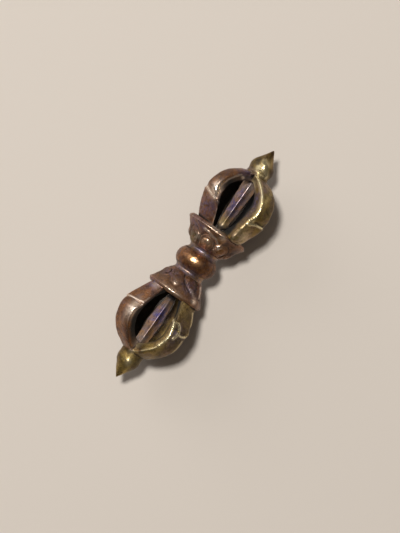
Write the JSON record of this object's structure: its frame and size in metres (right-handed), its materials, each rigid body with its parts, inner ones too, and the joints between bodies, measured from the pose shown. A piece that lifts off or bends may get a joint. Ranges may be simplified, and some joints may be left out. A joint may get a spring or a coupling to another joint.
{
  "type": "vajra amulet",
  "caption": "Pocket vajra amulet: a waisted hub between two lotus collars, each carrying a cage of curved prongs round a straight centre prong and closed by a pointed bud.",
  "frame": {"origin": "the middle of the hub bead, on the amulet's long axis", "axes": "+X along the length towards the upper end, +Z out of the front, away from the surface it lies on, +Y completing a right-handed frame"},
  "size_m": [0.06, 0.0167, 0.0165],
  "materials": {
    "copper_brown": "reddish brown patina on a cast copper alloy, rubbed bright on the edges",
    "olive_brass": "olive brown patina on a cast copper alloy, rubbed brassy on the edges",
    "violet_bronze": "dark handled bronze with a faint violet heat tint"
  },
  "bodies": {
    "root": {"hub_bead": "copper_brown", "hub_pin": "copper_brown", "upper_neck": "violet_bronze", "upper_lotus_collar": "copper_brown", "upper_pellet_1": "copper_brown", "upper_pellet_2": "copper_brown", "upper_pellet_3": "copper_brown", "upper_pellet_4": "copper_brown", "upper_pellet_5": "copper_brown", "upper_pellet_6": "copper_brown", "upper_pellet_7": "copper_brown", "upper_pellet_8": "copper_brown", "upper_front_left_prong": "copper_brown", "upper_front_right_prong": "olive_brass", "upper_back_left_prong": "copper_brown", "upper_back_right_prong": "olive_brass", "upper_centre_prong": "violet_bronze", "upper_bud": "olive_brass", "lower_neck": "violet_bronze", "lower_lotus_collar": "copper_brown", "lower_pellet_1": "copper_brown", "lower_pellet_2": "copper_brown", "lower_pellet_3": "copper_brown", "lower_pellet_4": "copper_brown", "lower_pellet_5": "copper_brown", "lower_pellet_6": "copper_brown", "lower_pellet_7": "copper_brown", "lower_pellet_8": "copper_brown", "lower_front_left_prong": "copper_brown", "lower_front_right_prong": "olive_brass", "lower_back_left_prong": "copper_brown", "lower_back_right_prong": "olive_brass", "lower_centre_prong": "violet_bronze", "lower_bud": "olive_brass"}
  },
  "joints": []
}
